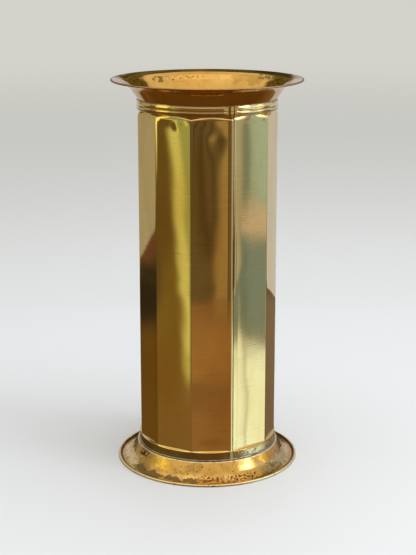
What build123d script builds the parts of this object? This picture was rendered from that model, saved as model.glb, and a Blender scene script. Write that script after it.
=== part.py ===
from build123d import *
import os
from math import cos, degrees, dist, radians, sin, sqrt, tan

# An umbrella stand of thin sheet brass. One sheet is folded into an eleven-sided tube and lapped
# down the front. A flared collar is let into its mouth and a spreading foot is soldered round its
# lower end, both with their edges rolled over a wire. A soldered plate closes the bottom, and a
# loose pan stands on it to catch the drips.
#
# Millimetres. +Z is up, the origin is on the axis at the table, and the front is towards -Y.
# A turn is an angle round the axis, from the front towards +X, in degrees.

# Tube
tube_top = 475.0            # table to the tube's upper edge
tube_foot = 4.0             # table to the tube's lower edge
tube_sheet = 0.8            # thickness of the tube's brass
corner_radius = 89.1        # axis to the outside of a fold between two flats
flat_count = 11             # flats round the tube
lap_turn = 19.5             # the fold that carries the lap
lap_flat_turn = 37.5        # turn taken by the wider flat that the lap lies over
neck_band_height = 13.0     # round band above the flats
neck_band_set = 0.7         # how far the band's outside lies within the folds
foot_band_top = 35.0        # table to the top of the round band below the flats
foot_band_stand = 0.6       # how far the band's outside stands proud of the folds
band_blend = 3.5            # height in which a round band runs into the flats
blend_bury = 0.4            # depth of that run's end behind the widest flat

# Beads rolled into the neck band
upper_bead_drop = 3.2       # tube's upper edge to the middle of the upper bead
upper_bead_width = 4.4
upper_bead_rise = 1.3
lower_bead_drop = 8.0       # tube's upper edge to the middle of the lower bead
lower_bead_width = 3.2
lower_bead_rise = 1.1
bead_stop = 4.0             # plain metal between a bead's end and the lap

# Lap and its solder
lap_back = 2.7              # lap's width before the fold
lap_over = 2.3              # lap's width past the fold
lap_solder_leg = 0.6        # width of the line of solder along the lap's edge

# Collar
collar_height = 25.0        # tube's upper edge to the top of the collar
collar_spread = 32.9        # neck band to the outside of the rolled edge
collar_sheet = 0.6
collar_slope = 57.0         # rise of the throat's cone, in degrees
collar_brim_slope = 13.0    # rise of the brim, in degrees
collar_bend = 14.0          # radius of the bend between cone and brim
collar_wire = 0.9           # diameter of the wire in the rolled edge
throat_inset = 2.6          # tube's bore to the outside of the collar's sleeve
sleeve_depth = 10.5         # tube's upper edge to the sleeve's lower end
sleeve_bend = 4.0           # radius of the bend between sleeve and cone

# Foot
foot_spread = 29.0          # foot band to the outside of the rolled edge
foot_sheet = 0.8
foot_lip_top = 23.0         # table to the top of the turned-in lip
foot_lip_bend = 1.1         # radius of that lip, to the middle of the sheet
foot_slope = 60.0           # fall of the skirt below the lip, in degrees
foot_brim_slope = 8.0       # fall of the skirt at the rolled edge, in degrees
foot_brim_straight = 1.5    # straight sheet between the skirt's hollow curve and its edge
foot_wire = 1.4             # diameter of the wire in the rolled edge
foot_flat = 1.0             # width of the worn flat that stands on the table
foot_sleeve_height = 10.0   # length of the sleeve that hugs the tube, below the lip
curl_turn = 270.0           # turn of a rolled edge round its wire
wire_play = 0.1             # gap between a wire and the sheet rolled round it

# Bottom plate and drip pan
floor_height = 12.0         # table to the top of the bottom plate
floor_sheet = 0.8
floor_bend = 1.6            # outer radius of the rim's bend
pan_height = 38.0
pan_sheet = 0.7
pan_bend = 5.0              # outer radius between the pan's floor and its wall
pan_wire = 1.5              # diameter of the wire in the pan's rolled edge
pan_clearance = 1.6         # gap between the pan and the narrowest flat

# Fits
joint_gap = 0.2             # gap between sheets that solder fills
film = 0.1                  # gap between a solder line and the curved sheet beside it
solder_leg = 2.4            # height of the solder above the foot's lip
solder_low = 165.0          # where the solder starts round the lip, from its outer side, in degrees
solder_crown = 95.0         # where it ends, near the top of the lip
floor_solder_leg = 2.2      # height and width of the solder round the bottom plate

neck_band_radius = corner_radius - neck_band_set
foot_band_radius = corner_radius + foot_band_stand
flats_top = tube_top - neck_band_height
lap_foot = foot_lip_top + solder_leg + joint_gap
flat_turn = (360 - lap_flat_turn) / (flat_count - 1)
neck_bore = neck_band_radius - tube_sheet
foot_bore = foot_band_radius - tube_sheet
widest_flat = corner_radius * cos(radians(max(lap_flat_turn, flat_turn) / 2))
flats_bore = widest_flat - tube_sheet

os.makedirs("parts", exist_ok=True)


def at_turn(radius, turn):
    """The point on a circle about the axis at a turn from the front."""
    return Vector(radius * sin(radians(turn)), -radius * cos(radians(turn)))


def on_circle(centre, radius, angle):
    """The point at an angle, in degrees, on a circle in the plane of a section."""
    return (centre[0] + radius * cos(radians(angle)), centre[1] + radius * sin(radians(angle)))


def crossing(start, start_slope, end, end_slope):
    """Where the line through start at one slope meets the line through end at another."""
    rise = tan(radians(start_slope))
    end_rise = tan(radians(end_slope))
    reach = (end[1] - start[1] - end_rise * (end[0] - start[0])) / (rise - end_rise)
    return (start[0] + reach, start[1] + rise * reach)


# The folds of the tube, from the lap round to it again.
fold_turns = [lap_turn]
for number in range(flat_count - 1):
    fold_turns.append(lap_turn + lap_flat_turn + number * flat_turn)


def tube_form(inset):
    """The tube as a closed form, drawn in by inset on every side."""
    with BuildPart() as form:
        with BuildSketch(Plane.XY.offset(foot_band_top)):
            with BuildLine():
                Polyline(*[at_turn(corner_radius, turn) for turn in fold_turns], close=True)
            make_face()
            if inset:
                offset(amount=-inset, kind=Kind.INTERSECTION)
        extrude(amount=flats_top - foot_band_top)
        foot = (foot_band_radius - inset, tube_foot, foot_band_top, foot_band_top + band_blend)
        neck = (neck_band_radius - inset, tube_top, flats_top, flats_top - band_blend)
        for radius, end, edge, blend in (foot, neck):
            with BuildSketch(Plane.XZ):
                with BuildLine():
                    Polyline(
                        (0, end),
                        (radius, end),
                        (radius, edge),
                        (widest_flat - inset - blend_bury, blend),
                        (0, blend),
                        close=True,
                    )
                make_face()
            revolve(axis=Axis.Z)
    return form.part


def neck_bead(drop, width, rise, inset):
    """A bead round the neck band, with rounded ends on each side of the lap."""
    section = (width**2 / 4 + rise**2) / (2 * rise)
    middle = neck_band_radius + rise - section
    gap = degrees((lap_back + lap_over + 2 * bead_stop) / middle)
    height = tube_top - drop
    first = lap_turn + gap / 2
    with BuildPart() as bead:
        with Locations((0, 0, height)):
            Torus(middle, section - inset, major_angle=360 - gap, rotation=(0, 0, first - 90))
        for turn in (first, first - gap):
            end = at_turn(middle, turn)
            with Locations((end.X, end.Y, height)):
                Sphere(section - inset)
    return bead.part


def lap_line(rise):
    """The lap in plan at a rise above the flats: its first end, its fold and its cut edge."""
    fold = at_turn(corner_radius, lap_turn)
    back = (at_turn(corner_radius, lap_turn - flat_turn) - fold).normalized()
    over = (at_turn(corner_radius, lap_turn + lap_flat_turn) - fold).normalized()
    back_out = Vector(-back.Y, back.X)
    over_out = Vector(over.Y, -over.X)
    mitre = (back_out + over_out) * (rise / (1 + back_out.dot(over_out)))
    return [
        fold + back * lap_back + back_out * rise,
        fold + mitre,
        fold + over * lap_over + over_out * rise,
    ]


beads = (
    (upper_bead_drop, upper_bead_width, upper_bead_rise),
    (lower_bead_drop, lower_bead_width, lower_bead_rise),
)

with BuildPart() as faceted_tube:
    add(tube_form(0))
    for drop, width, rise in beads:
        add(neck_bead(drop, width, rise, 0))
    with BuildSketch(Plane.XY.offset(lap_foot)):
        with BuildLine():
            Polyline(*lap_line(tube_sheet), *reversed(lap_line(-tube_sheet)), close=True)
        make_face()
    extrude(amount=tube_top - lap_foot)
    add(tube_form(tube_sheet), mode=Mode.SUBTRACT)
    for drop, width, rise in beads:
        add(neck_bead(drop, width, rise, tube_sheet), mode=Mode.SUBTRACT)
faceted_tube.part.label = "faceted_tube"
export_step(faceted_tube.part, "parts/faceted_tube.step")

# The line of solder in the corner between the lap's cut edge and the flat under it.
with BuildPart() as lap_solder:
    edge = lap_line(0)[-1]
    along = (edge - lap_line(0)[1]).normalized()
    across = (lap_line(lap_solder_leg)[-1] - edge).normalized()
    with BuildSketch(Plane.XY.offset(foot_band_top + band_blend)):
        with BuildLine():
            Polyline(
                edge,
                edge + along * lap_solder_leg,
                edge + across * lap_solder_leg,
                close=True,
            )
        make_face()
    extrude(amount=flats_top - foot_band_top - band_blend)
lap_solder.part.label = "lap_solder"
export_step(lap_solder.part, "parts/lap_solder.step")

# The collar's section follows the middle of its sheet: a sleeve inside the tube, a cone that
# leans on the tube's inner edge, a brim, and an edge rolled outwards and under round a wire.
collar_top = tube_top + collar_height
collar_curl = collar_wire / 2 + wire_play + collar_sheet / 2
collar_edge = collar_curl + collar_sheet / 2
collar_curl_centre = (neck_band_radius + collar_spread - collar_edge, collar_top - collar_edge)
cone_seat = on_circle(
    (neck_bore - film, tube_top),
    collar_sheet / 2 + film,
    90 + collar_slope,
)
sleeve_radius = neck_bore - throat_inset - collar_sheet / 2
sleeve_top = cone_seat[1] - (cone_seat[0] - sleeve_radius) * tan(radians(collar_slope))
brim_end = on_circle(collar_curl_centre, collar_curl, 90 + collar_brim_slope)
collar_knee = crossing(cone_seat, collar_slope, brim_end, collar_brim_slope)

with BuildPart() as collar:
    with BuildSketch(Plane.XZ):
        with BuildLine():
            flare = FilletPolyline(
                (sleeve_radius, tube_top - sleeve_depth),
                (sleeve_radius, sleeve_top),
                collar_knee,
                brim_end,
                radius=[sleeve_bend, collar_bend],
            )
            JernArc(flare @ 1, flare % 1, collar_curl, -curl_turn)
            offset(amount=collar_sheet / 2)
        make_face()
    revolve(axis=Axis.Z)
collar.part.label = "collar"
export_step(collar.part, "parts/collar.step")

with BuildPart() as collar_wire_ring:
    with Locations((0, 0, collar_curl_centre[1])):
        Torus(collar_curl_centre[0], collar_wire / 2)
collar_wire_ring.part.label = "collar_wire"
export_step(collar_wire_ring.part, "parts/collar_wire.step")

# Solder in the notch between the tube's upper edge and the collar's cone.
with BuildPart() as collar_solder:
    notch = neck_band_radius - joint_gap
    notch_top = tube_top + (notch - neck_bore) * tan(radians(collar_slope))
    with BuildSketch(Plane.XZ):
        with BuildLine():
            Polyline(
                (neck_bore + film, tube_top),
                (notch, tube_top),
                (notch, notch_top),
                close=True,
            )
        make_face()
    revolve(axis=Axis.Z)
collar_solder.part.label = "collar_solder"
export_step(collar_solder.part, "parts/collar_solder.step")

# The foot's section: a sleeve round the tube, a turned-in lip, a hollow skirt, and an edge
# rolled upwards round a wire, with a worn flat underneath that stands on the table.
foot_curl = foot_wire / 2 + wire_play + foot_sheet / 2
foot_edge = foot_curl + foot_sheet / 2
foot_curl_centre = (
    foot_band_radius + foot_spread - foot_edge,
    sqrt(foot_edge**2 - (foot_flat / 2) ** 2),
)
foot_sleeve_radius = foot_band_radius + joint_gap + foot_sheet / 2
lip_centre = (foot_sleeve_radius + foot_lip_bend, foot_lip_top - foot_lip_bend - foot_sheet / 2)
skirt_start = on_circle(lip_centre, foot_lip_bend, 90 - foot_slope)
skirt_end = on_circle(foot_curl_centre, foot_curl, 270 - foot_brim_slope)
foot_knee = crossing(skirt_start, -foot_slope, skirt_end, -foot_brim_slope)
foot_brim = dist(foot_knee, skirt_end)
foot_half_turn = radians(foot_slope - foot_brim_slope) / 2
foot_bend = (foot_brim - foot_brim_straight) / tan(foot_half_turn)

with BuildPart() as foot:
    with BuildSketch(Plane.XZ):
        with BuildLine():
            sleeve = Line(
                (foot_sleeve_radius, lip_centre[1] - foot_sleeve_height),
                (foot_sleeve_radius, lip_centre[1]),
            )
            JernArc(sleeve @ 1, sleeve % 1, foot_lip_bend, -90 - foot_slope)
            skirt = FilletPolyline(skirt_start, foot_knee, skirt_end, radius=foot_bend)
            JernArc(skirt @ 1, skirt % 1, foot_curl, curl_turn)
            offset(amount=foot_sheet / 2)
        make_face()
    revolve(axis=Axis.Z)
    split(bisect_by=Plane.XY)
foot.part.label = "foot"
export_step(foot.part, "parts/foot.step")

with BuildPart() as foot_wire_ring:
    with Locations((0, 0, foot_curl_centre[1])):
        Torus(foot_curl_centre[0], foot_wire / 2)
foot_wire_ring.part.label = "foot_wire"
export_step(foot_wire_ring.part, "parts/foot_wire.step")

# Solder that fills the corner between the tube and the foot's lip.
with BuildPart() as foot_solder:
    lip_clear = foot_lip_bend + foot_sheet / 2 + film
    half_sweep = (solder_low - solder_crown) / 2
    low = on_circle(lip_centre, lip_clear, solder_low)
    corner_clear = lip_clear / cos(radians(half_sweep))
    corner = on_circle(lip_centre, corner_clear, solder_crown + half_sweep)
    crown = on_circle(lip_centre, lip_clear, solder_crown)
    with BuildSketch(Plane.XZ):
        with BuildLine():
            Polyline(
                (foot_band_radius + film, low[1]),
                low,
                corner,
                crown,
                (foot_band_radius + film, foot_lip_top + solder_leg),
                close=True,
            )
        make_face()
    revolve(axis=Axis.Z)
foot_solder.part.label = "foot_solder"
export_step(foot_solder.part, "parts/foot_solder.step")

# The bottom plate: a disc with its rim turned down, let into the tube's foot.
with BuildPart() as bottom_plate:
    with Locations((0, 0, floor_height)):
        Cylinder(
            foot_bore - joint_gap,
            floor_height - tube_foot,
            align=(Align.CENTER, Align.CENTER, Align.MAX),
        )
    fillet(bottom_plate.edges().group_by(Axis.Z)[-1], floor_bend)
    offset(amount=-floor_sheet, openings=bottom_plate.faces().sort_by(Axis.Z)[0])
bottom_plate.part.label = "bottom_plate"
export_step(bottom_plate.part, "parts/bottom_plate.step")

with BuildPart() as bottom_solder:
    seal = foot_bore - film
    with BuildSketch(Plane.XZ):
        with BuildLine():
            Polyline(
                (seal - joint_gap - floor_bend - floor_solder_leg, floor_height),
                (seal, floor_height),
                (seal, floor_height + floor_solder_leg),
                close=True,
            )
        make_face()
    revolve(axis=Axis.Z)
bottom_solder.part.label = "bottom_solder"
export_step(bottom_solder.part, "parts/bottom_solder.step")

# The drip pan stands on the bottom plate and lifts out through the throat.
pan_curl = pan_wire / 2 + wire_play + pan_sheet / 2
throat_radius = sleeve_radius - collar_sheet / 2
pan_radius = min(flats_bore, throat_radius) - pan_clearance - 2 * pan_curl
pan_wall = pan_radius - pan_sheet / 2
pan_top = floor_height + pan_height

with BuildPart() as drip_pan:
    with Locations((0, 0, floor_height)):
        Cylinder(pan_radius, pan_height, align=(Align.CENTER, Align.CENTER, Align.MIN))
    fillet(drip_pan.edges().group_by(Axis.Z)[0], pan_bend)
    offset(amount=-pan_sheet, openings=drip_pan.faces().sort_by(Axis.Z)[-1])
    with BuildSketch(Plane.XZ):
        with BuildLine():
            wall = Line((pan_wall, pan_top - pan_curl), (pan_wall, pan_top))
            JernArc(wall @ 1, wall % 1, pan_curl, -curl_turn)
            offset(amount=pan_sheet / 2)
        make_face()
    revolve(axis=Axis.Z)
drip_pan.part.label = "drip_pan"
export_step(drip_pan.part, "parts/drip_pan.step")

with BuildPart() as pan_wire_ring:
    with Locations((0, 0, pan_top)):
        Torus(pan_wall + pan_curl, pan_wire / 2)
pan_wire_ring.part.label = "pan_wire"
export_step(pan_wire_ring.part, "parts/pan_wire.step")
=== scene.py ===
"""An umbrella stand of folded sheet brass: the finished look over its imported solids.

Metres. +Z is up, the origin is on the axis at the floor, and the front is towards -Y.
A turn is an angle round the axis, from the front towards +X, in degrees.
"""

import logging
from collections.abc import Callable, Iterable
from dataclasses import dataclass, field
from enum import Enum
from math import atan2, cos, degrees, radians, sin, sqrt

import bmesh
import bpy
from bmesh.types import BMEdge, BMVert
from bpy.types import ID, Material, NodeSocket, Object, World
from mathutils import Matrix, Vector


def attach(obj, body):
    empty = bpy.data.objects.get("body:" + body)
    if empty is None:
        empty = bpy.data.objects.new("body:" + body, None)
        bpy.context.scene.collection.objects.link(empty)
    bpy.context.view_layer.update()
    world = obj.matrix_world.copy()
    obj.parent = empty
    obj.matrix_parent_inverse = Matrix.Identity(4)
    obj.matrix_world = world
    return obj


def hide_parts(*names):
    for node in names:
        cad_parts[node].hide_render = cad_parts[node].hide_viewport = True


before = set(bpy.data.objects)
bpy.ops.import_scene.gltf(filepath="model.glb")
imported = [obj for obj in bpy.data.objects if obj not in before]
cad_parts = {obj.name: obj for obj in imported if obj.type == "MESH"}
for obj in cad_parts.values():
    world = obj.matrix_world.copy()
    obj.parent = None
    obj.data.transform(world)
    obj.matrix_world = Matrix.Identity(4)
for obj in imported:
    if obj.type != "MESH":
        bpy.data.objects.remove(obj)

log = logging.getLogger("umbrella_stand")
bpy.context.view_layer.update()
MM = 0.001


class Slot(Enum):
    """The record's material slots, by kind of piece. Nothing in this script reads them."""

    TUBE = "tube_brass"
    COLLAR = "collar_brass"
    FOOT = "foot_brass"
    SOLDER = "solder"


# Modelling


def turn_of(point: Vector) -> float:
    """Returns a point's turn round the axis, from the front towards +X, in degrees."""
    return degrees(atan2(point.x, -point.y))


def turned(turn: float) -> float:
    """Brings a turn into the half-open range from -180 to 180 degrees."""
    return (turn + 180.0) % 360.0 - 180.0


def nearest(turns: Iterable[float], place: Vector) -> float:
    """Returns how far a place is turned from the nearest of some turns, in degrees."""
    return min(abs(turned(turn_of(place) - turn)) for turn in turns)


def at_turn(radius: float, turn: float, height: float) -> Vector:
    """Returns the point at a radius, a turn and a height."""
    return Vector((radius * sin(radians(turn)), -radius * cos(radians(turn)), height))


def smooth(low: float, high: float, value: float) -> float:
    """Returns a smooth step of a value, from 0 at low to 1 at high."""
    share = max(0.0, min(1.0, (value - low) / (high - low)))
    return share * share * (3.0 - 2.0 * share)


class Bench:
    """A mesh on the bench: one object in edit mode, worked with Blender's own tools."""

    def __init__(self, name: str) -> None:
        """Names the piece that is to be made.

        Args:
            name: The name of the object.
        """
        self.name = name
        self.obj: Object | None = None

    @staticmethod
    def clear() -> None:
        """Leaves edit mode and deselects everything."""
        if bpy.context.object and bpy.context.object.mode != "OBJECT":
            bpy.ops.object.mode_set(mode="OBJECT")
        bpy.ops.object.select_all(action="DESELECT")

    def take_up(self) -> None:
        """Names the newest primitive and opens it in edit mode, all selected."""
        self.obj = bpy.context.object
        self.obj.name = self.name
        self.obj.data.name = self.name
        bpy.ops.object.transform_apply(location=True, rotation=True, scale=True)
        bpy.ops.object.mode_set(mode="EDIT")
        bpy.ops.mesh.select_all(action="SELECT")

    def start_point(self, radius: float, height: float) -> None:
        """Starts a section from one point, in the plane of X and Z.

        Args:
            radius: The distance of the point from the axis.
            height: The height of the point.
        """
        self.clear()
        bpy.ops.mesh.primitive_plane_add(size=MM, location=(radius, 0, height))
        self.take_up()
        bpy.ops.mesh.select_mode(type="VERT")
        bpy.ops.mesh.merge(type="CENTER")

    def pick(self, test: Callable[[BMVert | BMEdge], bool], kind: str = "VERT") -> None:
        """Selects the vertices or edges that pass a test, and what lies between them.

        Args:
            test: Says whether one is selected.
            kind: VERT or EDGE.
        """
        bpy.ops.mesh.select_mode(type=kind)
        bpy.ops.mesh.select_all(action="DESELECT")
        mesh = bmesh.from_edit_mesh(self.obj.data)
        for part in mesh.verts if kind == "VERT" else mesh.edges:
            if test(part):
                part.select_set(True)
        mesh.select_flush_mode()
        bmesh.update_edit_mesh(self.obj.data, loop_triangles=False)

    def pick_at(self, place: Vector, reach: float = 0.01 * MM) -> None:
        """Selects the vertices within reach of a place."""
        self.pick(lambda vertex: (vertex.co - place).length < reach)

    def extrude(self, dx: float, dz: float) -> None:
        """Extrudes what is selected outwards and upwards."""
        bpy.ops.mesh.extrude_region_move(TRANSFORM_OT_translate={"value": (dx, 0, dz)})

    def section(self, points: Iterable[tuple[float, float]]) -> None:
        """Extrudes the selected end of a section to one point after another.

        Args:
            points: The radius and height of each point.
        """
        for radius, height in points:
            mesh = bmesh.from_edit_mesh(self.obj.data)
            end = next(vertex.co.copy() for vertex in mesh.verts if vertex.select)
            self.extrude(radius - end.x, height - end.z)

    def curl(self, centre: tuple[float, float], sweep: float, steps: int) -> None:
        """Rolls the selected end of a section round a centre.

        Args:
            centre: The radius and height of the centre.
            sweep: The angle rolled, in degrees, from +X towards +Z.
            steps: The number of pieces in the arc.
        """
        bpy.ops.mesh.spin(
            steps=steps, angle=radians(sweep), center=(centre[0], 0, centre[1]),
            axis=(0, 1, 0), use_auto_merge=False,
        )

    def bend(
        self, corner: tuple[float, float], radius: float, half_turn: float, steps: int
    ) -> None:
        """Rounds one corner of a section.

        Args:
            corner: The radius and height of the corner.
            radius: The radius of the bend.
            half_turn: Half the angle through which the section turns there, in degrees.
            steps: The number of pieces in the bend.
        """
        self.pick_at(Vector((corner[0], 0, corner[1])))
        bpy.ops.mesh.bevel(
            offset_type="OFFSET", offset=radius * sin(radians(half_turn)), segments=steps,
            affect="VERTICES",
        )

    def turn_up(self, steps: int) -> None:
        """Turns a whole section once round the axis and closes the seam.

        Args:
            steps: The number of pieces round.
        """
        bpy.ops.mesh.select_all(action="SELECT")
        bpy.ops.mesh.spin(
            steps=steps, angle=radians(360), center=(0, 0, 0), axis=(0, 0, 1), use_auto_merge=False
        )
        bpy.ops.mesh.select_all(action="SELECT")
        bpy.ops.mesh.remove_doubles(threshold=0.002 * MM)
        bpy.ops.mesh.normals_make_consistent(inside=False)

    def modify(self, kind: str, **settings: object) -> None:
        """Adds a modifier and applies it.

        Args:
            kind: The modifier's type.
            settings: Its settings, by name.
        """
        self.hold()
        modifier = self.obj.modifiers.new(kind.title(), kind)
        for name, value in settings.items():
            setattr(modifier, name, value)
        bpy.ops.object.modifier_apply(modifier=modifier.name)

    def group(self, name: str, weight: Callable[[Vector], float]) -> None:
        """Gives the vertices a group, weighted by their place.

        Args:
            name: The name of the group.
            weight: The weight at a place, from 0 to 1.
        """
        self.hold()
        group = self.obj.vertex_groups.new(name=name)
        for vertex in self.obj.data.vertices:
            share = weight(vertex.co)
            if share > 0.0:
                group.add([vertex.index], min(share, 1.0), "REPLACE")

    def hold(self) -> None:
        """Selects this piece alone and makes it the active one."""
        self.clear()
        self.obj.select_set(True)
        bpy.context.view_layer.objects.active = self.obj

    def edit(self) -> None:
        """Goes back to edit mode."""
        self.hold()
        bpy.ops.object.mode_set(mode="EDIT")

    def finish(self, material: Material, angle: float) -> Object:
        """Shades the piece smooth up to an angle, dresses it and lets it ride.

        Args:
            material: The finish of the whole piece.
            angle: The sharpest edge that is still shaded smooth, in degrees.

        Returns:
            The finished object.
        """
        self.hold()
        bpy.ops.object.shade_smooth_by_angle(angle=radians(angle))
        self.obj.vertex_groups.clear()
        self.obj.data.materials.clear()
        self.obj.data.materials.append(material)
        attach(self.obj, "stand")
        self.clear()
        return self.obj


# Finishes

Value = float | str | tuple[float, ...] | NodeSocket | None
SOFTLY = {"interpolation_type": "SMOOTHSTEP"}


def linear(colour: str) -> tuple[float, float, float, float]:
    """Turns an sRGB hex colour into linear red, green, blue and alpha.

    Args:
        colour: Six hex digits after a hash.

    Returns:
        The colour as Blender's sockets take it.
    """
    parts = [int(colour[start : start + 2], 16) / 255.0 for start in (1, 3, 5)]
    red, green, blue = (
        part / 12.92 if part <= 0.04045 else ((part + 0.055) / 1.055) ** 2.4 for part in parts
    )
    return red, green, blue, 1.0


class Recipe:
    """The node tree of a finish, or of the room, while it is being put together."""

    def __init__(self, owner: Material | World) -> None:
        """Starts an empty tree with its coordinates.

        Args:
            owner: The new material or world.
        """
        self.owner = owner
        owner.use_nodes = True
        self.tree = owner.node_tree
        self.tree.nodes.clear()
        self.place = self.add("TexCoord", output="Object")

    def add(
        self, kind: str, *values: Value, output: str | None = None, **settings: Value
    ) -> NodeSocket | None:
        """Adds a node with its settings and links.

        A socket is linked, a hex colour is set as its linear one, and None is left alone.

        Args:
            kind: The node's type, without the ShaderNode that all of them start with.
            values: Its inputs, in the order of those that its properties leave in use.
            output: The output that is wanted, if it isn't the first in use.
            settings: Its properties, and inputs by name.

        Returns:
            The output, or None where the node has none.
        """
        node = self.tree.nodes.new("ShaderNode" + kind)
        pairs = []
        for name, value in settings.items():
            if hasattr(node, name):
                setattr(node, name, value)
            else:
                pairs.append((node.inputs[name], value))
        pairs += zip((socket for socket in node.inputs if socket.enabled), values)
        for socket, value in pairs:
            if isinstance(value, NodeSocket):
                self.tree.links.new(value, socket)
            elif value is not None:
                socket.default_value = linear(value) if isinstance(value, str) else value
        if output:
            return node.outputs[output]
        return next((socket for socket in node.outputs if socket.enabled), None)

    def blotches(
        self, size: float, stretch: tuple[float, float, float] = (1, 1, 1), **more: float
    ) -> NodeSocket:
        """Adds noise whose blotches are about one size across.

        Args:
            size: The size of a blotch, in millimetres.
            stretch: How many times longer the pattern is drawn along each axis.
            more: Further settings of the noise.

        Returns:
            The noise, from 0 to 1.
        """
        scale = tuple(1.0 / factor for factor in stretch)
        place = self.add("Mapping", Vector=self.place, Scale=scale)
        settings = {"Scale": 1.0 / (size * MM), "Detail": 2.0} | more
        return self.add("TexNoise", Vector=place, **settings)

    def overlap(self, share: Value, *others: Value) -> NodeSocket:
        """Finds how far several shares hold at once.

        Args:
            share: The first share, from 0 to 1.
            others: The others.

        Returns:
            Their product.
        """
        for other in others:
            share = self.add("Math", share, other, operation="MULTIPLY")
        return share

    def painted(self, colour: Value, *layers: tuple[Value, Value]) -> NodeSocket:
        """Lays colours one over another.

        Args:
            colour: The colour underneath.
            layers: The share of each layer that shows, and its colour.

        Returns:
            The colour that they make.
        """
        for share, paint in layers:
            colour = self.add("Mix", share, colour, paint, data_type="RGBA")
        return colour

    def polar(self) -> tuple[NodeSocket, ...]:
        """Finds where a place lies round the axis.

        Returns:
            The turn in degrees, the distance from the axis and the height.
        """
        x, y, z = self.add("SeparateXYZ", self.place).node.outputs
        back = self.add("Math", y, -1.0, operation="MULTIPLY")
        turn = self.add("Math", x, back, operation="ARCTAN2")
        square = self.add("Math", y, y, operation="MULTIPLY")
        square = self.add("Math", x, x, square, operation="MULTIPLY_ADD")
        turn = self.add("Math", turn, operation="DEGREES")
        return turn, self.add("Math", square, operation="SQRT"), z

    def metal(
        self, metallic: float, colour: Value, roughness: Value, normal: Value = None
    ) -> Material:
        """Adds the shader of a metal and finishes the material.

        Args:
            metallic: How much of it is bare metal, from 0 to 1.
            colour: Its colour.
            roughness: Its roughness.
            normal: Its normal, if it is uneven.

        Returns:
            The material.
        """
        settings = {
            "Metallic": metallic, "Base Color": colour, "Roughness": roughness, "Normal": normal
        }
        return self.finish(self.add("BsdfPrincipled", **settings))

    def finish(self, surface: NodeSocket) -> ID:
        """Joins a shader to the output, and returns the material or world."""
        self.add("OutputWorld" if isinstance(self.owner, World) else "OutputMaterial", surface)
        return self.owner


@dataclass(frozen=True)
class Mark:
    """A patch of colour, in torn blotches that thin out towards its edges. Some are tarnish, and
    others are painted highlights, painted reflections and painted shade.

    Turn and spread are its middle and half its width in degrees, inner and outer its distances
    from the axis, size that of a blotch, cut the noise above which the patch shows, fade
    the share of its width over which it thins out, and heights its lowest and highest points.
    Lengths are in millimetres.
    """

    turn: float
    spread: float
    inner: float
    outer: float
    size: float
    cut: float
    colour: str
    amount: float = 1.0
    fade: float = 0.25
    heights: tuple[float, float] | None = None
    thinning: float = 0.35
    rim: float = 0.035

    def draw(self, mix: Recipe, polar: tuple[NodeSocket, ...]) -> NodeSocket:
        """Draws the patch.

        Args:
            mix: The finish that it lies in.
            polar: The turn, the distance from the axis and the height of a place.

        Returns:
            The share of the patch at a place.
        """
        turn, away, height = polar
        aside = mix.add("Math", turn, self.turn, operation="SUBTRACT")
        aside = mix.add("Math", aside, 180.0, -180.0, operation="WRAP")
        aside = mix.add("Math", aside, operation="ABSOLUTE")
        within = [mix.add("MapRange", aside, self.spread * 0.4, self.spread, 1, 0, **SOFTLY)]
        for value, window in ((away, (self.inner, self.outer)), (height, self.heights)):
            if window:
                low, high = (end * MM for end in window)
                soft = self.fade * (high - low)
                within += [
                    mix.add("MapRange", value, low, low + soft, **SOFTLY),
                    mix.add("MapRange", value, high - soft, high, 1, 0, **SOFTLY),
                ]
        here = mix.overlap(*within)
        torn = mix.blotches(self.size, Detail=6.0, Roughness=0.62)
        outside = mix.add("Math", 1.0, here, operation="SUBTRACT")
        torn = mix.add("Math", outside, -self.thinning, torn, operation="MULTIPLY_ADD")
        return mix.overlap(
            mix.add("MapRange", torn, self.cut, self.cut + self.rim, 0, self.amount, **SOFTLY),
            mix.add("MapRange", here, 0.0, 0.1, **SOFTLY),
        )


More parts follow.
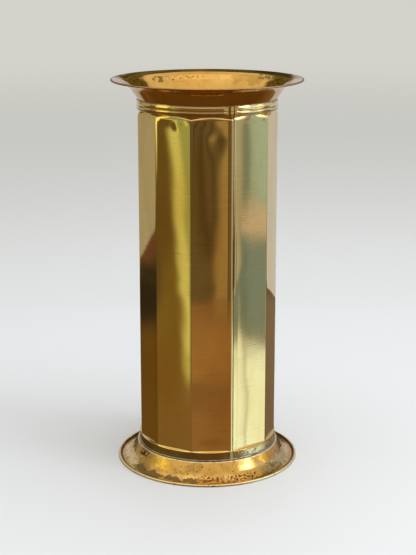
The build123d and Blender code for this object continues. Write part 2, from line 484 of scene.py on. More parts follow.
@dataclass(frozen=True)
class SheetBrass:
    """Rolled sheet brass, polished and gone dull with age.

    Clean and warm are the tones of its metal, and stain, shine and groove those of its tarnish
    and of its scratches. Dull is the roughness that its clouded parts add. Stained, hairline
    and mottle are the strengths of its specks, scratches and brown clouds, and wavy the height
    of its unevenness. Lengths are in millimetres.
    """

    name: str
    clean: str = "#EDD597"
    warm: str = "#E2BE78"
    stain: str = "#8A6A38"
    shine: str = "#FFF6D8"
    groove: str = "#6E5426"
    roughness: float = 0.10
    dull: float = 0.06
    stained: float = 0.0
    hairline: float = 0.05
    wavy: float = 0.0
    mottle: float = 0.0
    cloud_size: float = 60.0
    mottle_size: float = 11.0
    speck_size: float = 3.5
    cluster_size: float = 30.0
    rubbed_size: float = 50.0
    wave_size: float = 28.0
    # The cloth's scratches are finer than this, which is as coarse as they need to show.
    scratch_size: float = 1.1
    scratch_depth: float = 0.2
    marks: tuple[Mark, ...] = ()

    def make(self) -> Material:
        """Builds the material.

        Returns:
            The finish.
        """
        # Old polished brass gives the eye a warm mirror. It is browner and duller where
        # tarnish clouds and specks it, and the scratches that run round it, as the polishing
        # cloth did, draw its reflections out sideways. The two limits of each range are the
        # noise at which a tone sets in and at which it is full.
        mix = Recipe(bpy.data.materials.new(self.name))
        cloud = mix.blotches(self.cloud_size, (1, 1, 3), Detail=4.0)
        brown = mix.blotches(self.mottle_size, Detail=5.0, Roughness=0.6)
        brown = mix.add("MapRange", brown, 0.42, 0.66, 0, self.mottle, **SOFTLY)
        speck = mix.blotches(self.speck_size, Detail=4.0, Roughness=0.6)
        where = mix.blotches(self.cluster_size, Detail=3.0)
        tarnish = mix.overlap(
            mix.add("MapRange", speck, 0.62, 0.70, **SOFTLY),
            mix.add("MapRange", where, 0.48, 0.62, 0, self.stained, **SOFTLY),
        )
        layers = [
            (mix.add("MapRange", cloud, 0.35, 0.75, **SOFTLY), self.warm),
            (brown, self.stain),
            (tarnish, self.stain),
        ]
        polar = mix.polar()
        # The marks lay patches of tarnish and of painted light (painted highlights, painted
        # reflections and painted shade). From here on, tarnish also holds these painted patches,
        # which dull the roughness.
        for mark in self.marks:
            patch = mark.draw(mix, polar)
            layers.append((patch, mark.colour))
            tarnish = mix.add("Math", tarnish, patch, operation="MAXIMUM")
        scratch = mix.blotches(self.scratch_size, (30, 30, 1), Detail=4.0, Roughness=0.7)
        rubbed = mix.blotches(self.rubbed_size, Detail=1.0)
        rubbed = mix.add("MapRange", rubbed, 0.45, 0.6, 0.25, 1.0, **SOFTLY)
        for low, high, strength, colour in (
            (0.56, 0.68, self.hairline, self.shine),
            (0.44, 0.34, self.hairline * 0.8, self.groove),
        ):
            lines = mix.add("MapRange", scratch, low, high, 0, strength, **SOFTLY)
            layers.append((mix.overlap(lines, rubbed), colour))
        dullest = self.roughness + self.dull
        grey = mix.add("Math", brown, 0.3, tarnish, operation="MULTIPLY_ADD")
        worn = mix.add("MapRange", cloud, 0.3, 0.8, self.roughness, dullest, **SOFTLY)
        depths = self.wavy * MM, self.scratch_depth * MM
        waves = mix.blotches(self.wave_size, Detail=1.0)
        waves = mix.add("Bump", Strength=1.0, Distance=depths[0], Height=waves)
        return mix.metal(
            1.0,
            mix.painted(self.clean, *layers),
            mix.add("Math", grey, 0.35, worn, operation="MULTIPLY_ADD"),
            mix.add("Bump", Strength=0.05, Distance=depths[1], Height=scratch, Normal=waves),
        )


@dataclass(frozen=True)
class SoftSolder:
    """Tin-lead solder, wiped on and gone grey. Its lumps are 9 mm long."""

    name: str = "wiped_soft_solder"
    bright: str = "#B9BBC4"
    dark: str = "#8A888E"
    lump_size: float = 9.0
    lump_depth: float = 0.6

    def make(self) -> Material:
        """Builds the material.

        Returns:
            The finish.
        """
        # Wiped solder gives the eye a soft grey line, brighter on its lumps.
        mix = Recipe(bpy.data.materials.new(self.name))
        lumps = mix.blotches(self.lump_size, Detail=4.0, Roughness=0.6)
        return mix.metal(
            1.0,
            mix.painted(self.dark, (mix.add("MapRange", lumps, 0.3, 0.6, **SOFTLY), self.bright)),
            mix.add("MapRange", lumps, 0.3, 0.7, 0.5, 0.28, **SOFTLY),
            mix.add("Bump", Strength=0.25, Distance=self.lump_depth * MM, Height=lumps),
        )


@dataclass(frozen=True)
class SheetZinc:
    """Galvanised sheet steel, with a spangle of crystals 11 mm across."""

    name: str = "galvanised_zinc_sheet"
    dark: str = "#9EA3A6"
    bright: str = "#C4C8CA"
    damp: str = "#7E7A70"
    spangle_size: float = 11.0
    damp_size: float = 50.0

    def make(self) -> Material:
        """Builds the material.

        Returns:
            The finish.
        """
        # Galvanising gives the eye flat pale crystals, some dull and some bright, and water
        # leaves brown-grey clouds on them.
        mix = Recipe(bpy.data.materials.new(self.name))
        scale = 1.0 / (self.spangle_size * MM)
        cells = mix.add("TexVoronoi", output="Color", Vector=mix.place, Scale=scale)
        spangle = mix.add("SeparateXYZ", cells)
        damp = mix.blotches(self.damp_size, Detail=5.0)
        damp = mix.add("MapRange", damp, 0.5, 0.75, 0, 0.5, **SOFTLY)
        colour = mix.painted(self.dark, (spangle, self.bright), (damp, self.damp))
        return mix.metal(0.9, colour, mix.add("MapRange", spangle, 0, 1, 0.32, 0.5, **SOFTLY))


@dataclass(frozen=True)
class SteelWire:
    """Drawn mild steel wire, gone brown inside its rolled edge in spots of 4 mm."""

    name: str = "drawn_steel_wire"
    clean: str = "#8F8B86"
    rusty: str = "#5B4331"
    rust_size: float = 4.0

    def make(self) -> Material:
        """Builds the material.

        Returns:
            The finish.
        """
        # Old wire gives the eye a dull grey line that turns matt and brown where it rusts.
        mix = Recipe(bpy.data.materials.new(self.name))
        rust = mix.blotches(self.rust_size, Detail=5.0)
        rust = mix.add("MapRange", rust, 0.4, 0.65, **SOFTLY)
        colour = mix.painted(self.clean, (rust, self.rusty))
        return mix.metal(0.85, colour, mix.add("MapRange", rust, 0, 1, 0.4, 0.7, **SOFTLY))


# Sub-assemblies


@dataclass(frozen=True)
class Bead:
    """A bead rolled outwards into the neck band."""

    height: float
    width: float
    rise: float


@dataclass(frozen=True)
class Dent:
    """A small dent in the tube's wall, or a bump if its depth is negative, in millimetres."""

    turn: float
    height: float
    size: float
    depth: float


@dataclass
class FacetedTube:
    """The folded tube, with its round bands, its beads and the lap down the front."""

    top: float = 475.0 * MM
    foot: float = 4.0 * MM
    sheet: float = 0.8 * MM
    corner_radius: float = 89.1 * MM
    flat_radius: float = 85.5 * MM
    fold_bend: float = 1.1 * MM
    fold_near: float = 0.2
    flat_count: int = 11
    plan_points: int = 480
    flat_cuts: int = 21
    flat_least: float = 20.0 * MM
    lap_turn: float = 19.5
    lap_flat_turn: float = 37.5
    neck_radius: float = 88.8 * MM
    foot_radius: float = 89.7 * MM
    cove_radius: float = 85.4 * MM
    flats_low: float = 38.5 * MM
    foot_band_top: float = 34.3 * MM
    foot_ledge: float = 1.7 * MM
    flats_high: float = 462.4 * MM
    neck_band_low: float = 463.4 * MM
    cove: float = 4.6 * MM
    fold_width: tuple[float, float] = (0.3 * MM, 5.5 * MM)
    fold_length: float = 9.0 * MM
    fold_press: float = 0.45
    lap_foot: float = 25.6 * MM
    lap_joggle: float = 3.7 * MM
    lap_back: float = 2.5 * MM
    lap_rise: float = 0.9 * MM
    lap_over: float = 2.3 * MM
    lap_edge: float = 0.08 * MM
    lap_reach: float = 12.0 * MM
    lap_slack: float = 0.6 * MM
    bead_stop: tuple[float, float] = (6.4 * MM, 3.4 * MM)
    bead_rows: int = 9
    belly: float = 0.13
    belly_end: float = 16.0 * MM
    neck_belly: float = 0.10
    foot_belly: float = 0.05
    ripple_size: float = 55.0 * MM
    ripple_depth: float = 0.25 * MM
    beads: tuple[Bead, ...] = (
        Bead(472.2 * MM, 5.2 * MM, 0.8 * MM),
        Bead(467.2 * MM, 3.4 * MM, 0.8 * MM),
    )
    dents: tuple[Dent, ...] = (
        Dent(-54, 453, 8, 0.2),
        Dent(-18.5, 454, 8, 0.3),
        Dent(53.5, 453, 5, 0.35),
        Dent(8, 430, 16, 0.25),
        Dent(-30, 66, 14, 0.3),
        Dent(46, 44, 18, 0.22),
        Dent(38, 250, 24, 0.2),
        Dent(-24, 451, 9, -0.2),
        Dent(134, 455, 8, 0.4),
        Dent(-150, 453, 8, 0.4),
        Dent(170, 250, 26, 0.4),
    )
    bench: Bench = field(default_factory=lambda: Bench("folded_brass_tube"))

    def build(self, brass: Material) -> Object:
        """Models and dresses the tube.

        Args:
            brass: The finish of the sheet.

        Returns:
            The tube's object.
        """
        self.draw_plan()
        self.raise_wall()
        self.round_bands()
        self.cast("folds", self.pressed, self.cove_radius)
        self.roll_beads()
        self.raise_lap()
        self.dent_sheet()
        self.bench.modify("SOLIDIFY", thickness=self.sheet, offset=-1.0, use_even_offset=True)
        self.bench.modify("WEIGHTED_NORMAL", mode="FACE_AREA", weight=60, keep_sharp=True)
        obj = self.bench.finish(brass, 40.0)
        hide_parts("faceted_tube")
        return obj

    def flat_turn(self) -> float:
        """Returns the turn taken by each ordinary flat."""
        return (360.0 - self.lap_flat_turn) / (self.flat_count - 1)

    def fold_turns(self) -> list[float]:
        """Finds where the sheet is folded.

        Returns:
            The turn of each fold. The lap's own is the first.
        """
        first = self.lap_turn + self.lap_flat_turn
        rest = [first + self.flat_turn() * number for number in range(self.flat_count - 1)]
        return [self.lap_turn] + rest

    def past_lap(self, vertex: BMVert) -> float:
        """Returns a vertex's turn past the lap's fold, negative before it."""
        return turned(turn_of(vertex.co) - self.lap_turn)

    def draw_plan(self) -> None:
        """Cuts a fine circle down to the folds, and rounds and divides what is left."""
        bench = self.bench
        bench.clear()
        bpy.ops.mesh.primitive_circle_add(
            vertices=self.plan_points, radius=self.corner_radius, location=(0, 0, self.foot)
        )
        bench.take_up()
        folds = self.fold_turns()
        bench.pick(lambda vertex: nearest(folds, vertex.co) > self.fold_near)
        bpy.ops.mesh.dissolve_verts()
        bpy.ops.mesh.select_all(action="SELECT")
        bpy.ops.mesh.bevel(
            offset_type="OFFSET", offset=self.fold_bend, segments=3, affect="VERTICES"
        )
        bench.pick(lambda edge: edge.calc_length() > self.flat_least, "EDGE")
        bpy.ops.mesh.subdivide(number_cuts=self.flat_cuts)
        for side, number, distance in (
            (-1, 0, self.lap_back),
            (-1, 1, self.lap_joggle),
            (-1, 2, self.lap_joggle + self.lap_rise),
            (1, 0, self.lap_over),
            (1, 1, self.lap_over + self.lap_edge),
        ):
            self.slide_point(side, number, distance)

    def lap_flat(self, side: int) -> tuple[Vector, Vector]:
        """Finds the lap's fold and a flat beside it, both at the floor's height.

        Args:
            side: 1 for the flat past the fold, or -1 for the one before it.

        Returns:
            The place of the fold, and the direction along the flat.
        """
        fold = at_turn(self.corner_radius, self.lap_turn, 0)
        turn = self.lap_turn + (self.lap_flat_turn if side > 0 else -self.flat_turn())
        return fold, (at_turn(self.corner_radius, turn, 0) - fold).normalized()

    def slide_point(self, side: int, number: int, distance: float) -> None:
        """Slides a point of the plan along its flat, to where the lap needs one.

        Args:
            side: 1 past the lap's fold, or -1 before it.
            number: Which point, counted from the fold.
            distance: The distance from the fold that it is given, along the flat.
        """
        fold, along = self.lap_flat(side)
        fold.z = self.foot
        mesh = bmesh.from_edit_mesh(self.bench.obj.data)
        ways = [vertex.co - fold for vertex in mesh.verts]
        ways = [way for way in ways if way.dot(along) > self.fold_bend + 0.05 * MM]
        way = sorted(ways, key=lambda found: found.length)[number]
        self.bench.pick_at(fold + way)
        bpy.ops.transform.translate(value=along * distance - way)

    def raise_wall(self) -> None:
        """Draws the plan up into the wall, with more rows where its form changes."""
        # Each stage is the height that it reaches and its number of rows.
        stages = [
            (self.foot_band_top - 0.8 * MM, 3),
            (self.foot_band_top + 1.6 * MM, 8),
            (self.flats_low + self.belly_end, 9),
            (self.flats_high - 30 * MM, 44),
            (self.flats_high - 8 * MM, 11),
            (self.flats_high, 16),
            (self.neck_band_low, 7),
        ]
        for bead in reversed(self.beads):
            stages += [
                (bead.height - bead.width / 2, 2),
                (bead.height + bead.width / 2, self.bead_rows),
            ]
        height = self.foot
        bpy.ops.mesh.select_all(action="SELECT")
        for goal, rows in (*stages, (self.top, 1)):
            for _ in range(rows):
                self.bench.extrude(0, (goal - height) / rows)
            height = goal
        bpy.ops.mesh.select_all(action="SELECT")
        bpy.ops.mesh.normals_make_consistent(inside=False)

    def round_bands(self) -> None:
        """Draws both ends out to round bands, and leaves each flat with a slight belly."""
        self.cast("neck", lambda place: self.roundness(place, True), self.neck_radius)
        self.cast("foot", lambda place: self.roundness(place, False), self.foot_radius)
        self.cast("cove", lambda place: self.under_beads(place, self.cove), self.cove_radius)
        ripple = bpy.data.textures.new("oil_canning", "CLOUDS")
        ripple.noise_scale = self.ripple_size
        ripple.noise_depth = 1
        low, high = self.flats_low, self.flats_high
        self.bench.group("flats", lambda place: float(low < place.z < high))
        self.bench.modify(
            "DISPLACE", texture=ripple, texture_coords="LOCAL", mid_level=0.5,
            strength=self.ripple_depth, vertex_group="flats",
        )

    def roundness(self, place: Vector, upper: bool) -> float:
        """Finds how far one of the round bands draws a place.

        Args:
            place: The place.
            upper: Whether it is the neck band that draws it, or the foot band.

        Returns:
            The share, from 0 to 1, and 0 past the middle of the flats.
        """
        low, high, end = self.flats_low, self.flats_high, self.belly_end
        if (place.z > (low + high) / 2) != upper:
            return 0.0
        if upper:
            belly = self.neck_belly * smooth(high - end, high, place.z)
            band = smooth(high, self.neck_band_low, place.z)
        else:
            belly = self.foot_belly * smooth(low + end, low, place.z)
            band = smooth(self.foot_band_top + self.foot_ledge, self.foot_band_top, place.z)
        return max(self.belly + belly, band)

    def under_beads(self, place: Vector, length: float) -> float:
        """Returns how near a place is to the flats' top, from 0 at some length away to 1."""
        near = max(0.0, 1.0 - abs(self.flats_high - place.z) / length) ** 2
        return near * (1.0 - smooth(self.flats_high, self.neck_band_low, place.z))

    def pressed(self, place: Vector) -> float:
        """Finds how far the rolling of the neck presses in the top of a fold.

        Args:
            place: A place on the wall.

        Returns:
            The share, from 0 to 1. The lap's own fold is left as it is.
        """
        aside = radians(nearest(self.fold_turns()[1:], place)) * self.corner_radius
        across = 1.0 - smooth(*self.fold_width, aside)
        return self.fold_press * across * self.under_beads(place, self.fold_length)

    def cast(self, name: str, weight: Callable[[Vector], float], radius: float) -> None:
        """Draws the wall towards a cylinder.

        Args:
            name: The name of the group of vertices that is drawn.
            weight: How far a place is drawn, from 0 to 1.
            radius: The radius of the cylinder.
        """
        self.bench.group(name, weight)
        self.bench.modify(
            "CAST", cast_type="CYLINDER", use_z=False, factor=1.0, radius=0.0, size=radius,
            use_radius_as_size=False, vertex_group=name,
        )

    def roll_beads(self) -> None:
        """Swells the neck band into its two beads, which stop short of the lap."""
        before, past = (degrees(stop / self.neck_radius) for stop in self.bead_stop)
        self.bench.edit()
        for bead in self.beads:
            arc = (bead.width**2 / 4 + bead.rise**2) / (2 * bead.rise)
            for row in range(1, self.bead_rows):
                height = bead.height - bead.width / 2 + row * bead.width / self.bead_rows
                reach = sqrt(arc**2 - (height - bead.height) ** 2)
                self.bench.pick(
                    lambda vertex, z=height: abs(vertex.co.z - z) < 0.01 * MM
                    and not -before <= self.past_lap(vertex) <= past
                )
                scale = 1.0 + (reach - (arc - bead.rise)) / self.neck_radius
                bpy.ops.transform.resize(value=(scale, scale, 1), center_override=(0, 0, height))

    def raise_lap(self) -> None:
        """Raises the strip of the lap, which lies over the fold by the sheet's thickness.

        The sheet steps up softly before the fold, and its cut edge stands past it.
        """
        self.bench.edit()
        self.bench.pick(self.on_lap)
        out = 1.0 + self.sheet / self.corner_radius
        bpy.ops.transform.resize(value=(out, out, 1), center_override=(0, 0, 0))

    def on_lap(self, vertex: BMVert) -> bool:
        """Says whether a vertex lies on the strip of the lap.

        Args:
            vertex: The vertex.

        Returns:
            Whether it does.
        """
        fold, along = self.lap_flat(1)
        way = Vector((vertex.co.x, vertex.co.y, 0)) - fold
        if vertex.co.z <= self.lap_foot or way.length >= self.lap_reach:
            return False
        if self.past_lap(vertex) < 0:
            return way.length < self.lap_back + self.lap_slack
        return abs(way.dot(along)) < self.lap_over + self.lap_edge / 2

    def dent_sheet(self) -> None:
        """Dents the sheet in a few places, as folding by hand and use leave it."""
        self.bench.edit()
        for dent in self.dents:
            place = at_turn(self.flat_radius, dent.turn, dent.height * MM)
            mesh = bmesh.from_edit_mesh(self.bench.obj.data)
            middle = min(mesh.verts, key=lambda vertex: (vertex.co - place).length)
            self.bench.pick_at(middle.co.copy())
            bpy.ops.transform.translate(
                value=at_turn(-dent.depth * MM, dent.turn, 0), use_proportional_edit=True,
                proportional_edit_falloff="SMOOTH", proportional_size=dent.size * MM,
            )


@dataclass
class Collar:
    """The flared collar: a sleeve, a cone, a brim and an edge rolled under round a wire."""

    sheet: float = 0.6 * MM
    sleeve: tuple[float, float] = (84.7 * MM, 464.5 * MM)
    sleeve_top: float = 471.4228 * MM
    knee: tuple[float, float] = (101.0 * MM, 495.3008 * MM)
    brim_end: tuple[float, float] = (119.9588 * MM, 499.6782 * MM)
    curl_centre: tuple[float, float] = (120.15 * MM, 498.85 * MM)
    slope: float = 57.0
    brim_slope: float = 13.0
    sleeve_bend: float = 4.0 * MM
    brim_bend: float = 24.0 * MM
    steps: int = 220

    def build(self, brass: Material) -> Object:
        """Models and dresses the collar.

        Args:
            brass: The finish of the sheet.

        Returns:
            The collar's object.
        """
        bench = Bench("flared_brass_collar")
        neck = self.sleeve[0], self.sleeve_top
        bench.start_point(*self.sleeve)
        bench.section([neck, self.knee, self.brim_end])
        bench.curl(self.curl_centre, sweep=-270.0, steps=12)
        bench.bend(neck, self.sleeve_bend, (90 - self.slope) / 2, steps=4)
        bench.bend(self.knee, self.brim_bend, (self.slope - self.brim_slope) / 2, steps=14)
        bench.turn_up(self.steps)
        bench.modify("SOLIDIFY", thickness=self.sheet, offset=0.0, use_even_offset=True)
        obj = bench.finish(brass, 35.0)
        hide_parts("collar")
        return obj


@dataclass
class Foot:
    """The spreading foot: a sleeve, a lip, a hollow skirt and an edge rolled up round a wire."""

    sheet: float = 0.8 * MM
    sleeve: tuple[float, float] = (90.3 * MM, 11.5 * MM)
    lip_centre: tuple[float, float] = (91.4 * MM, 21.5 * MM)
    slope: float = 60.0
    knee: tuple[float, float] = (103.8285 * MM, 2.1733 * MM)
    brim_end: tuple[float, float] = (116.933 * MM, 0.3315 * MM)
    brim_slope: float = 8.0
    hollow: float = 24.0569 * MM
    curl_centre: tuple[float, float] = (117.1 * MM, 1.5199 * MM)
    steps: int = 220

    def build(self, brass: Material) -> Object:
        """Models and dresses the foot.

        Args:
            brass: The finish of the sheet.

        Returns:
            The foot's object.
        """
        bench = Bench("spreading_brass_foot")
        bench.start_point(*self.sleeve)
        bench.section([(self.sleeve[0], self.lip_centre[1])])
        bench.curl(self.lip_centre, sweep=-90.0 - self.slope, steps=10)
        bench.section([self.knee, self.brim_end])
        bench.curl(self.curl_centre, sweep=270.0, steps=14)
        bench.bend(self.knee, self.hollow, (self.slope - self.brim_slope) / 2, steps=16)
        bench.turn_up(self.steps)
        bench.modify("SOLIDIFY", thickness=self.sheet, offset=0.0, use_even_offset=True)
        # What stands below the floor is worn flat.
        bench.edit()
        bench.pick(lambda vertex: vertex.co.z < 0.0)
        bpy.ops.transform.resize(value=(1, 1, 0), center_override=(0, 0, 0))
        obj = bench.finish(brass, 35.0)
        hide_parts("foot")
        return obj


@dataclass
class Solder:
    """A lumpy line of solder round the tube, a little taller than wide.

    Node is the CAD node that it stands for, and blob turn the place of its one big lump.
    """

    name: str
    node: str
    radius: float
    height: float
    size: float
    tall: float
    blob_turn: float | None = None
    lump_size: float = 16.0 * MM
    lump_depth: float = 0.7
    blob_size: float = 1.6 * MM
    blob_reach: float = 2.5 * MM
    blob_swell: tuple[float, float, float] = (1.5, 1.5, 1.35)

    def build(self, solder: Material) -> Object:
        """Models and dresses the line.

        Args:
            solder: The finish of the solder.

        Returns:
            The line's object.
        """
        bench, centre = Bench(self.name), Vector((0, 0, self.height))
        bench.clear()
        bpy.ops.mesh.primitive_torus_add(
            major_segments=320, minor_segments=12, major_radius=self.radius,
            minor_radius=self.size, location=centre,
        )
        bench.take_up()
        bpy.ops.transform.resize(value=(1, 1, self.tall), center_override=centre)
        lumps = bpy.data.textures.new(self.name, "CLOUDS")
        lumps.noise_scale = self.lump_size
        bench.modify(
            "DISPLACE", texture=lumps, texture_coords="LOCAL", mid_level=0.55,
            strength=self.size * self.lump_depth,
        )
        if self.blob_turn is not None:
            # The line swells where the lap runs into it.
            bench.edit()
            spot = at_turn(self.radius, self.blob_turn, self.height)
            bench.pick_at(spot, self.blob_size)
            bpy.ops.transform.resize(
                value=self.blob_swell, center_override=spot, use_proportional_edit=True,
                proportional_edit_falloff="SMOOTH", proportional_size=self.blob_reach,
            )
        obj = bench.finish(solder, 60.0)
        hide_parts(self.node)
        return obj


SOLDER_LINES = (
    Solder(
        "solder_at_lip", "foot_solder", radius=90.1 * MM, height=23.9 * MM, size=0.7 * MM,
        tall=1.35, blob_turn=20.8,
    ),
    Solder(
        "solder_at_collar", "collar_solder", radius=88.0 * MM, height=475.35 * MM,
        size=0.45 * MM, tall=1.2,
    ),
)


# Studio


@dataclass(frozen=True)
class Card:
    """One soft-edged card in the room round the stand, seen only in its polish.

    Start and end are its turns, low and high its elevations, soft the width of its edges and
    lean the turn that its sides gain for each degree of fall, all in degrees. Grain is the
    size of its figure, in thousandths of its distance.
    """

    start: float
    end: float
    low: float
    high: float
    colour: str
    glow: float = 1.0
    soft: float = 1.0
    lean: float = 0.0
    grain: float = 0.0

    def draw(self, room: Recipe, turn: NodeSocket, rise: NodeSocket) -> tuple[Value, Value]:
        """Draws the card.

        Args:
            room: The room's node tree.
            turn: The turn of a direction.
            rise: The elevation of a direction.

        Returns:
            The share of the card that shows, and its light.
        """
        aside = room.add("Math", turn, (self.start + self.end) / 2, operation="SUBTRACT")
        fallen = room.add("Math", rise, self.low, operation="SUBTRACT")
        aside = room.add("Math", fallen, self.lean, aside, operation="MULTIPLY_ADD")
        aside = room.add("Math", aside, 180.0, -180.0, operation="WRAP")
        up = room.add("Math", rise, (self.low + self.high) / 2, operation="SUBTRACT")
        shares = []
        for offset, size in ((aside, self.end - self.start), (up, self.high - self.low)):
            inside, outside = (size - self.soft) / 2, (size + self.soft) / 2
            away = room.add("Math", offset, operation="ABSOLUTE")
            shares.append(room.add("MapRange", away, inside, outside, 1, 0, **SOFTLY))
        if self.grain:
            figure = room.blotches(self.grain, (1, 1, 5), Detail=3.0, Distortion=1.5)
            shares.append(room.add("MapRange", figure, 0.46, 0.54, **SOFTLY))
        light = tuple(part * self.glow for part in linear(self.colour)[:3])
        return room.overlap(*shares), (*light, 1.0)


@dataclass
class Studio:
    """The plain pale floor, the soft light and the camera."""

    wall: str = "#D3D2CB"
    floor_tone: str = "#C9CCD1"
    floor_radius: float = 40.0
    floor_fade: tuple[float, float] = (1.0, 6.0)
    lens: float = 85.4
    camera_at: tuple[float, float, float] = (0.001, -1.657, 0.6725)
    camera_pitch: float = 14.55
    below: str = "#6A4C27"
    table: str = "#85683C"
    dusk: str = "#625239"
    ceiling: str = "#F6EACF"
    wall_away: float = 0.70
    wall_width: float = 6.0
    wall_top: float = 1.9
    wall_join: tuple[float, float] = (-0.75, -0.45)
    plants: tuple[float, float] = (0.59, 0.65)
    plants_wide: tuple[float, float] = (0.85, 0.95)
    leaf_size: float = 50.0
    leaf_top: tuple[float, float] = (0.88, 0.96)
    near_wall: str = "#CCCDD6"
    far_wall: str = "#AEA999"
    leaf_dark: str = "#2C2712"
    leaf_light: str = "#887B3C"
    cards: tuple[Card, ...] = ()

    def build(self) -> None:
        """Builds the floor, the light and the camera."""
        self.lay_floor()
        self.hang_room()
        self.raise_back_wall()
        self.light()
        self.place_camera()

    def lay_floor(self) -> None:
        """Lays a wide floor that fades into the wall's tone far away."""
        Bench.clear()
        bpy.ops.mesh.primitive_circle_add(vertices=96, radius=self.floor_radius, fill_type="NGON")
        floor = bpy.context.object
        floor.name = "studio_floor"
        mix = Recipe(bpy.data.materials.new("pale_studio_floor"))
        _, away, _ = mix.polar()
        far = mix.add("MapRange", away, *self.floor_fade, **SOFTLY)
        near = mix.add("BsdfPrincipled", **{"Base Color": self.floor_tone, "Roughness": 0.6})
        glow = mix.add("Emission", self.wall)
        floor.data.materials.append(mix.finish(mix.add("MixShader", far, near, glow)))
        floor.visible_glossy = False
        Bench.clear()

    def hang_room(self) -> None:
        """Surrounds the stand with the tones that its polish mirrors."""
        world = bpy.data.worlds.new("soft_studio")
        bpy.context.scene.world = world
        room = Recipe(world)
        turn, away, height = room.polar()
        rise = room.add("Math", height, away, operation="ARCTAN2")
        rise = room.add("Math", rise, operation="DEGREES")
        bands = (
            (-48.0, -30.0, self.table), (-16.1, -15.3, self.dusk), (-2.0, 42.0, self.ceiling)
        )
        tone = room.painted(
            self.below,
            *((room.add("MapRange", rise, *span, **SOFTLY), paint) for *span, paint in bands),
            *(card.draw(room, turn, rise) for card in self.cards),
        )
        rays = room.add("LightPath").node.outputs
        seen = rays["Is Camera Ray"], rays["Is Diffuse Ray"]
        seen = room.add("Math", *seen, operation="MAXIMUM")
        mirrored, plain = room.add("Background", tone), room.add("Background", self.wall)
        room.finish(room.add("MixShader", seen, mirrored, plain))

    def raise_back_wall(self) -> None:
        """Stands a wall with plants behind the stand, seen only in the polish."""
        Bench.clear()
        high = self.wall_top
        middle = (0, self.wall_away, high / 2)
        bpy.ops.mesh.primitive_plane_add(size=1.0, location=middle, rotation=(radians(90), 0, 0))
        wall = bpy.context.object
        wall.name = "mirrored_wall"
        bpy.ops.transform.resize(value=(self.wall_width, 1.0, high), center_override=middle)
        bpy.ops.object.transform_apply(location=True, rotation=True, scale=True)
        mix = Recipe(bpy.data.materials.new("mirrored_wall"))
        x, _, z = mix.add("SeparateXYZ", mix.place).node.outputs
        leaf = mix.blotches(self.leaf_size, (1, 1, 1.6), Detail=5.0, Roughness=0.65)
        lit = mix.add("MapRange", leaf, 0.42, 0.60, **SOFTLY)
        torn = mix.add("Math", leaf, 0.5, operation="SUBTRACT")
        edge = mix.add("Math", torn, 0.3, z, operation="MULTIPLY_ADD")
        aside = mix.add("Math", x, operation="ABSOLUTE")
        ragged = mix.add("Math", torn, 0.4, aside, operation="MULTIPLY_ADD")
        hung = mix.overlap(
            mix.add("MapRange", edge, *self.plants, **SOFTLY),
            mix.add("MapRange", ragged, *self.plants_wide, 1, 0, **SOFTLY),
        )
        over = mix.add("Math", aside, -0.45, edge, operation="MULTIPLY_ADD")
        tone = mix.painted(
            self.far_wall,
            (mix.add("MapRange", x, *self.wall_join, **SOFTLY), self.near_wall),
            (hung, mix.painted(self.leaf_dark, (lit, self.leaf_light))),
            (mix.add("MapRange", over, *self.leaf_top, **SOFTLY), self.ceiling),
        )
        wall.data.materials.append(mix.finish(mix.add("Emission", tone)))
        wall.visible_camera = wall.visible_diffuse = wall.visible_shadow = False
        Bench.clear()

    def light(self) -> None:
        """Hangs two soft lights for the floor and the dull pieces."""
        aim = Vector((0, 0, 0.2))
        for name, place, size, power in (
            ("overhead_softbox", (0.3, -0.2, 2.6), 2.4, 54.0),
            ("side_softbox", (2.2, -1.2, 1.7), 1.6, 22.0),
        ):
            lamp = bpy.data.lights.new(name, "AREA")
            lamp.energy, lamp.size = power, size
            obj = bpy.data.objects.new(name, lamp)
            bpy.context.scene.collection.objects.link(obj)
            obj.location = place
            obj.rotation_euler = (aim - obj.location).to_track_quat("-Z", "Y").to_euler()
            obj.visible_glossy = obj.visible_camera = False

    def place_camera(self) -> None:
        """Puts the camera a step in front of the stand, looking a little down."""
        camera = bpy.data.cameras.new("camera")
        camera.lens = self.lens
        obj = bpy.data.objects.new("camera", camera)
        bpy.context.scene.collection.objects.link(obj)
        obj.location = self.camera_at
        obj.rotation_euler = (radians(90.0 - self.camera_pitch), 0, 0)
        bpy.context.scene.camera = obj
        view = bpy.context.scene.view_settings
        view.view_transform, view.look = "Standard", "None"


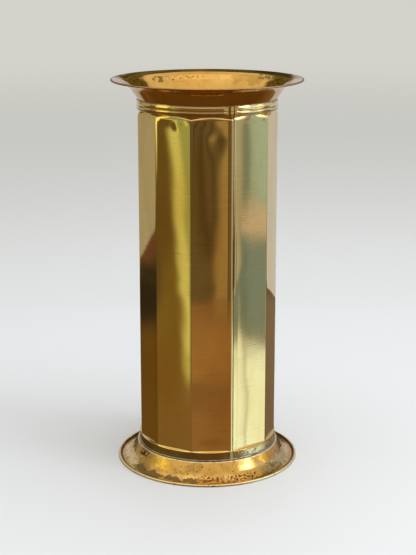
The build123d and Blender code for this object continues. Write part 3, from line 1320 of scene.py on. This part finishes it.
# Start, end, low, high, colour and glow of each card, by where it stands.
CARDS = (
    # Low on the table behind the stand: its dark edge, and brown boards under the walls.
    Card(117, 185, -34, -15.3, "#80705F"),
    Card(-150, -110, -34, -16.6, "#6B4F23", soft=2),
    Card(-150, -110, -16.7, -13.9, "#332C1F", soft=1.4),
    Card(-150, -110, -13.7, -12.3, "#6E4A34", soft=1.2, lean=1.5),
    # The room in front: a dark door, a lamp's yellow wall, and the boards under them.
    Card(-62.5, -57, -19, -13, "#7F6832", soft=2.5),
    Card(-105, -54.8, -13.9, 8, "#6B572C", soft=1.6, lean=0.45),
    Card(-55.8, -52.2, -18.7, 8, "#D4D48A", 1.08, soft=2.4, lean=0.45),
    Card(-52.8, -44, -18.5, 8, "#A3AC70", soft=1.2, lean=0.45),
    Card(-20, 30, -34, -15.7, "#95704A"),
    Card(-20, 30, -18.8, -17.3, "#A67E50", soft=0.7),
    Card(-20, 30, -20, -19, "#82613C", soft=0.6),
    Card(-20, 30, -15.2, -4, "#6C5C42", soft=1.2),
    Card(1, 8, -13.4, -2, "#4E3D20", soft=1.5, grain=35),
    Card(7.6, 11.2, -15.7, 10, "#A68E64", soft=1.6, lean=-0.26),
    Card(33, 61, -34, 8, "#B9AB86", soft=8),
    Card(-46, 34, -4, 16, "#7A5C34", soft=6),
    # The bright side: a sage cupboard and the sunlit floor below a window.
    Card(61, 110, -17.2, 6, "#B7B5AA"),
    Card(75.6, 90, -17.2, -3, "#8295A0", soft=1.4),
    Card(78.3, 90, -11.6, -3, "#AECBD8", soft=2.4),
    Card(76, 90, -12.5, -11.6, "#DCC7BC", soft=0.7, lean=0.4),
    Card(75.4, 77.9, -16.6, -12.9, "#77898F", soft=0.9),
    Card(61, 76, -36, -17, "#D4ECFF", 1.7, soft=1.2),
    Card(75.8, 110, -36, -17.7, "#D4ECFF", 1.7, soft=1),
    Card(76.6, 77.6, -36, -17.2, "#D0DFF1", soft=0.8),
    # Light from above: two windows on the bright side, and a lamp on the other.
    Card(78, 114, 6, 36, "#DDE6F0", 1.2, soft=8),
    Card(62, 104, 0, 17, "#F0F4F6", 1.7, soft=4),
    Card(58, 76, 20, 36, "#EDF4FF", 6.5, soft=3),
    Card(93, 101, 14, 24, "#FFF6A0", 3, soft=2),
    Card(-90, -66, -9, 40, "#FFF9A4", 1.3, soft=3),
    Card(-181, 181, 62, 100, "#FFF8EA", 1.3, soft=24),
)

# Turn, spread, inner, outer, size, cut, colour, amount, fade and heights of each mark.
TUBE_MARKS = (
    # Painted shade in dark rings: on the foot's band under its ledge, just under the lower bead
    # and in the groove between the beads.
    *(
        Mark(0, 500, 60, 120, 14, 0.2, "#4C3414", amount, fade, heights)
        for amount, fade, heights in (
            (0.62, 0.1, (18, 34.4)), (0.6, 0.3, (463.2, 466.2)), (0.4, 0.4, (468.6, 470))
        )
    ),
    # A painted highlight on the right of the foot's band and on the lap's foot, the lap's dark
    # line, and specks lower down.
    Mark(57, 42, 60, 120, 7, 0.42, "#F8E6A8", 0.8, 0.2, (24, 34.4)),
    Mark(20.2, 1.2, 60, 120, 14, 0.1, "#FFF0C4", 0.8, 0.1, (23, 34.4)),
    Mark(21.45, 0.6, 60, 120, 14, 0.1, "#3A2A12", 0.85, 0.1, (25, 500)),
    Mark(0, 500, 60, 120, 2.2, 0.68, "#6B4F22", 0.6, 0.3, (30, 110)),
)

COLLAR_MARKS = (
    # The olive and brown mottling on the two sides of the inside is partly tarnish and partly a
    # painted reflection of leaves.
    Mark(-158, 34, 86, 112, 2.8, 0.545, "#5E4826", fade=0.5),
    Mark(-139, 8, 92, 106, 7, 0.45, "#5A5124", 0.75, 0.4),
    Mark(146, 24, 86, 112, 22, 0.37, "#A88436", 0.4, 0.5),
    Mark(133, 13, 92, 113, 4, 0.46, "#75692A", 0.8, 0.4),
    Mark(-122, 22, 98, 118, 2, 0.56, "#3B3A18", 0.85, 0.3),
    Mark(120, 24, 96, 118, 2, 0.56, "#3B3A18", 0.85, 0.3),
    Mark(0, 500, 119.2, 122.2, 12, 0.3, "#A07A60", 0.7, 0.1),
    Mark(160, 20, 84, 108, 2.4, 0.66, "#6B4F22", 0.8),
    Mark(0, 500, 82, 121, 2.2, 0.68, "#6B4F22", 0.8),
)

FOOT_MARKS = (
    # Pale patches on the left and the right: painted reflections of the bright room beside the
    # stand.
    Mark(-84, 36, 94, 114, 7, 0.37, "#FFEBC2", 0.8, 0.35),
    Mark(80, 36, 94, 114, 11, 0.38, "#F8E6C0", 0.62, 0.4),
    Mark(-33, 46, 98, 119, 10, 0.425, "#84704A", 0.95, 0.45),
    Mark(16, 42, 95, 119, 2.4, 0.49, "#7E4E2C", fade=0.4),
    Mark(56, 28, 96, 118, 5, 0.49, "#8A7858", 0.8, 0.4),
    Mark(60, 32, 93, 114, 15, 0.37, "#A39467", 0.6, 0.45),
    Mark(53, 15, 97, 109, 4.5, 0.48, "#665A3E", 0.7, 0.4),
    # Painted shade under the lip on the left.
    Mark(-60, 11, 88, 99, 3, 0.45, "#5E3A26"),
    Mark(180, 112, 96, 119, 9, 0.52, "#8C7A5E", fade=0.4),
    Mark(0, 500, 88, 122, 2.4, 0.60, "#6B4A26", 0.9),
    # A painted highlight along the lip.
    Mark(0, 500, 90.2, 93.4, 6, 0.36, "#FFF0C4", 0.7, 0.3),
    # Painted shade in the hollow just inside the rolled edge.
    Mark(0, 500, 112.6, 116.6, 20, 0.35, "#4B3A20", 0.85),
    # The rolled edge is lighter: partly rubbed clean, partly a painted highlight along it.
    Mark(0, 500, 116.9, 122, 5, 0.36, "#FFF0C4", 0.85, 0.12),
)


def dress_cad(materials: dict[str, Material]) -> None:
    """Gives the carried-over CAD nodes their finishes.

    Args:
        materials: The finish of each node, by the node's name.
    """
    for name, material in materials.items():
        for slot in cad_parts[name].material_slots:
            slot.material = material
        log.info("%s keeps its shape and takes %s", name, material.name)


def main() -> None:
    """Builds the stand piece by piece, and the studio round it."""
    logging.basicConfig(level=logging.INFO, format="%(name)s: %(message)s")
    tube_brass = SheetBrass(
        "polished_tube_brass", roughness=0.045, dull=0.03, hairline=0.22, marks=TUBE_MARKS
    )
    collar_brass = SheetBrass(
        "aged_collar_brass", clean="#E0B66A", warm="#D2A050", roughness=0.08, stained=0.5,
        wavy=0.5, mottle=0.16, marks=COLLAR_MARKS,
    )
    foot_brass = SheetBrass(
        "stained_foot_brass", clean="#DDB468", warm="#CF9C4C", roughness=0.15, stained=0.6,
        wavy=0.8, mottle=0.45, marks=FOOT_MARKS,
    )
    plate_brass = SheetBrass("dull_plate_brass", roughness=0.3, stained=0.8)
    solder = SoftSolder().make()
    wire = SteelWire().make()
    for piece in (
        FacetedTube().build(tube_brass.make()),
        Collar().build(collar_brass.make()),
        Foot().build(foot_brass.make()),
        *(line.build(solder) for line in SOLDER_LINES),
    ):
        log.info("%s has %d faces", piece.name, len(piece.data.polygons))
    dress_cad(
        {
            "lap_solder": solder,
            "bottom_solder": solder,
            "bottom_plate": plate_brass.make(),
            "drip_pan": SheetZinc().make(),
            "collar_wire": wire,
            "foot_wire": wire,
            "pan_wire": wire,
        }
    )
    Studio(cards=CARDS).build()


if __name__ == "__main__":
    main()
